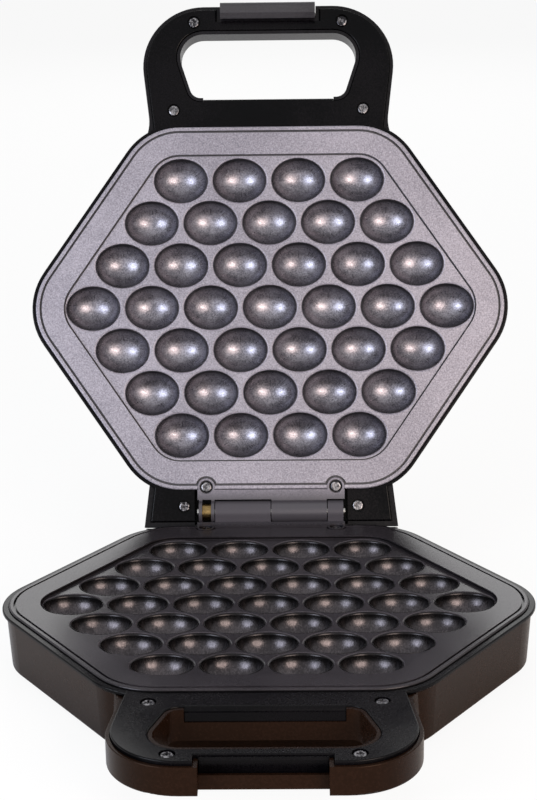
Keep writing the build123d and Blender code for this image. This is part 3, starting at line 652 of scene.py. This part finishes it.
@dataclass(frozen=True)
class Softbox:
    """A round studio lamp that looks at a point."""

    name: str
    place: Triple
    target: Triple
    size: float
    power: float
    colour: str = "#ffffff"
    in_gloss: bool = True

    def build(self) -> None:
        """Adds the lamp."""
        lamp = bpy.data.lights.new(self.name, "AREA")
        lamp.shape = "DISK"
        lamp.size = self.size
        lamp.energy = self.power
        lamp.color = linear(self.colour)[:3]
        made = bpy.data.objects.new(self.name, lamp)
        made.location = self.place
        made.visible_glossy = self.in_gloss
        aim = Vector(self.target) - Vector(self.place)
        made.rotation_euler = aim.to_track_quat("-Z", "Y").to_euler()
        bpy.context.scene.collection.objects.link(made)


LID_MIDDLE = (0.0, 0.1, 0.13)
# The two front lamps give each bowl its pair of highlights, one warm and one cool.
SOFTBOXES = (
    Softbox("warm_front", (0.6, -0.95, 0.42), LID_MIDDLE, size=0.68, power=13.0, colour="#ffeadb"),
    Softbox("cool_front", (-0.8, -0.8, 0.42), LID_MIDDLE, size=0.68, power=13.0, colour="#e9f0ff"),
    Softbox("overhead", (0.0, -0.1, 1.6), (0.0, 0.0, 0.1), size=1.4, power=5.0, in_gloss=False),
    Softbox("behind", (0.0, 1.5, 0.8), (0.0, 0.1, 0.15), size=1.0, power=5.0),
)


@dataclass
class Studio:
    """The white set: floor, world, lamps, and a camera that was fitted to points on the object."""

    floor_half: float = 6.0
    floor_colour: str = "#f6f6f6"
    floor_glow: float = 0.9
    sky_strength: float = 0.35
    white_strength: float = 1.0
    camera_place: Triple = (0.0164, -0.8804, 0.4038)
    yaw: float = -0.0178
    pitch: float = 0.3162
    roll: float = -0.0136
    focal_pixels: float = 2088.0
    image_height: float = 800.0
    sensor_mm: float = 36.0
    softboxes: tuple[Softbox, ...] = SOFTBOXES

    def build(self) -> None:
        """Builds the whole set."""
        self.floor()
        self.world()
        for lamp in self.softboxes:
            lamp.build()
        self.camera()
        bpy.context.scene.view_settings.view_transform = "Standard"
        LOG.info("studio ready with %d softboxes", len(self.softboxes))

    def floor(self) -> None:
        """Adds the white floor, which keeps the object's shadow."""
        shape = bmesh.new()
        bmesh.ops.create_grid(shape, x_segments=2, y_segments=2, size=self.floor_half)
        mesh = bpy.data.meshes.new("floor")
        shape.to_mesh(mesh)
        shape.free()
        material = bpy.data.materials.new("white_floor")
        tree = bare_tree(material)
        light = add_node(tree, "ShaderNodeLightPath", {})
        glow = add_node(tree, "ShaderNodeEmission",
                        {"Color": linear("#ffffff"), "Strength": self.white_strength})
        paint = add_node(tree, "ShaderNodeBsdfDiffuse", {"Color": linear(self.floor_colour)})
        share = add_node(tree, "ShaderNodeMath", {"operation": "MULTIPLY", 1: self.floor_glow},
                         {0: light.outputs["Is Camera Ray"]})
        mixed = add_node(tree, "ShaderNodeMixShader", {},
                         {0: share.outputs["Value"], 1: paint.outputs["BSDF"], 2: glow.outputs["Emission"]})
        add_node(tree, "ShaderNodeOutputMaterial", {}, {"Surface": mixed.outputs["Shader"]})
        mesh.materials.append(material)
        made = bpy.data.objects.new("floor", mesh)
        bpy.context.scene.collection.objects.link(made)

    def world(self) -> None:
        """Sets a soft grey sky that the camera, gloss and glass see as white."""
        world = bpy.data.worlds.new("white_room")
        tree = bare_tree(world)
        light = add_node(tree, "ShaderNodeLightPath", {})
        seen = light.outputs["Is Camera Ray"]
        for ray in ("Is Transmission Ray", "Is Glossy Ray"):
            seen = add_node(tree, "ShaderNodeMath", {"operation": "ADD", "use_clamp": True},
                            {0: seen, 1: light.outputs[ray]}).outputs["Value"]
        strength = add_node(tree, "ShaderNodeMapRange",
                            span(0.0, 1.0, self.sky_strength, self.white_strength), {"Value": seen})
        sky = add_node(tree, "ShaderNodeBackground", {"Color": linear("#ffffff")},
                       {"Strength": strength.outputs["Result"]})
        add_node(tree, "ShaderNodeOutputWorld", {}, {"Surface": sky.outputs["Background"]})
        bpy.context.scene.world = world

    def camera(self) -> None:
        """Adds the camera where the photograph was taken."""
        ahead = Vector((sin(self.yaw) * cos(self.pitch), cos(self.yaw) * cos(self.pitch), -sin(self.pitch)))
        right = Vector((cos(self.yaw), -sin(self.yaw), 0))
        up = right.cross(ahead)
        rolled_right = right * cos(self.roll) + up * sin(self.roll)
        rolled_up = up * cos(self.roll) - right * sin(self.roll)
        turn = Matrix((rolled_right, rolled_up, -ahead)).transposed()
        lens = bpy.data.cameras.new("camera")
        lens.sensor_width = self.sensor_mm
        lens.lens = self.focal_pixels / self.image_height * self.sensor_mm
        made = bpy.data.objects.new("camera", lens)
        made.matrix_world = Matrix.Translation(self.camera_place) @ turn.to_4x4()
        bpy.context.scene.collection.objects.link(made)
        bpy.context.scene.camera = made


def main() -> None:
    """Loads the frame, builds every piece and sets the studio."""
    logging.basicConfig(level=logging.INFO)
    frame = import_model()
    slots = {part["node"]: part["material_slot"] for part in frame["record"]["subparts"]}
    shop = Workshop()
    shop.dress_nodes(frame["nodes"], slots)
    bowls = Bowls(shop)
    bowls.build("lower_bowls", "base", PLACING.base(), SHADED_OILED_BOWL)
    bowls.build("upper_bowls", "lid", PLACING.lid(), BOWL_COAT)
    Studio().build()


if __name__ == "__main__":
    main()
